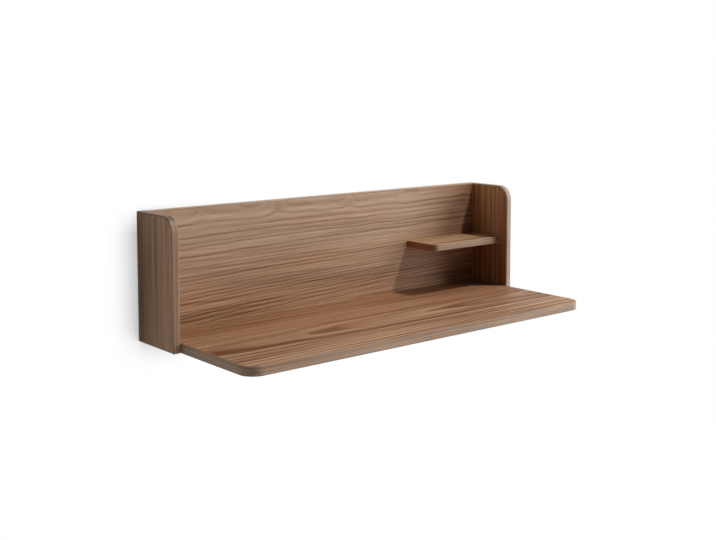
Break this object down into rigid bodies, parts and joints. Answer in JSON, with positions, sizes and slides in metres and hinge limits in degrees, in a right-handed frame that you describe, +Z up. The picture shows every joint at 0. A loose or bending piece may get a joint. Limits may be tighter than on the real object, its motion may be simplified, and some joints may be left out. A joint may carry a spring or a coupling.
{
  "type": "floating wall desk",
  "caption": "Wall-hung desk with a rounded top, low side and back panels and a small shelf at the right, in walnut-veneered board, on a hidden hook-over rail.",
  "frame": {"origin": "middle of the line of wall screws, on the wall plane behind the wall rail", "axes": "+X to the user's right along the wall, +Y into the wall, +Z up; the desk top reaches out along -Y"},
  "size_m": [1.1, 0.43, 0.307],
  "materials": {
    "walnut_veneer": "satin lacquer",
    "walnut_edging": "satin lacquer",
    "beech": "bare, fluted",
    "zinc": "die cast",
    "steel": "zinc plated",
    "cap_plastic": "matt",
    "aluminium": "mill"
  },
  "bodies": {
    "wall_rail": {"wall_rail": "aluminium"},
    "desk": {"left_side_panel": "walnut_veneer", "right_side_panel": "walnut_veneer", "back_panel": "walnut_veneer", "desk_top": "walnut_veneer", "small_shelf": "walnut_veneer", "left_side_edging": "walnut_edging", "right_side_edging": "walnut_edging", "left_side_lower_edging": "walnut_edging", "right_side_lower_edging": "walnut_edging", "back_panel_upper_edging": "walnut_edging", "back_panel_lower_edging": "walnut_edging", "desk_top_edging": "walnut_edging", "shelf_edging": "walnut_edging", "back_panel_dowels": "beech", "desk_end_dowels": "beech", "desk_rear_dowels": "beech", "shelf_end_dowels": "beech", "shelf_rear_dowel": "beech", "back_panel_cams": "zinc", "desk_cams": "zinc", "shelf_cam": "zinc", "back_panel_cam_bolts": "steel", "desk_cam_bolts": "steel", "shelf_cam_bolt": "steel", "desk_rear_screws": "steel", "shelf_rear_screws": "steel", "hanging_rail_screws": "steel", "desk_cam_caps": "cap_plastic", "shelf_cam_cap": "cap_plastic", "hanging_rail": "aluminium"}
  },
  "joints": [
    {"name": "lift_off", "type": "slide", "parent": "wall_rail", "child": "desk", "axis": [0, 0, 1], "range_m": [0, 0.012]}
  ]
}
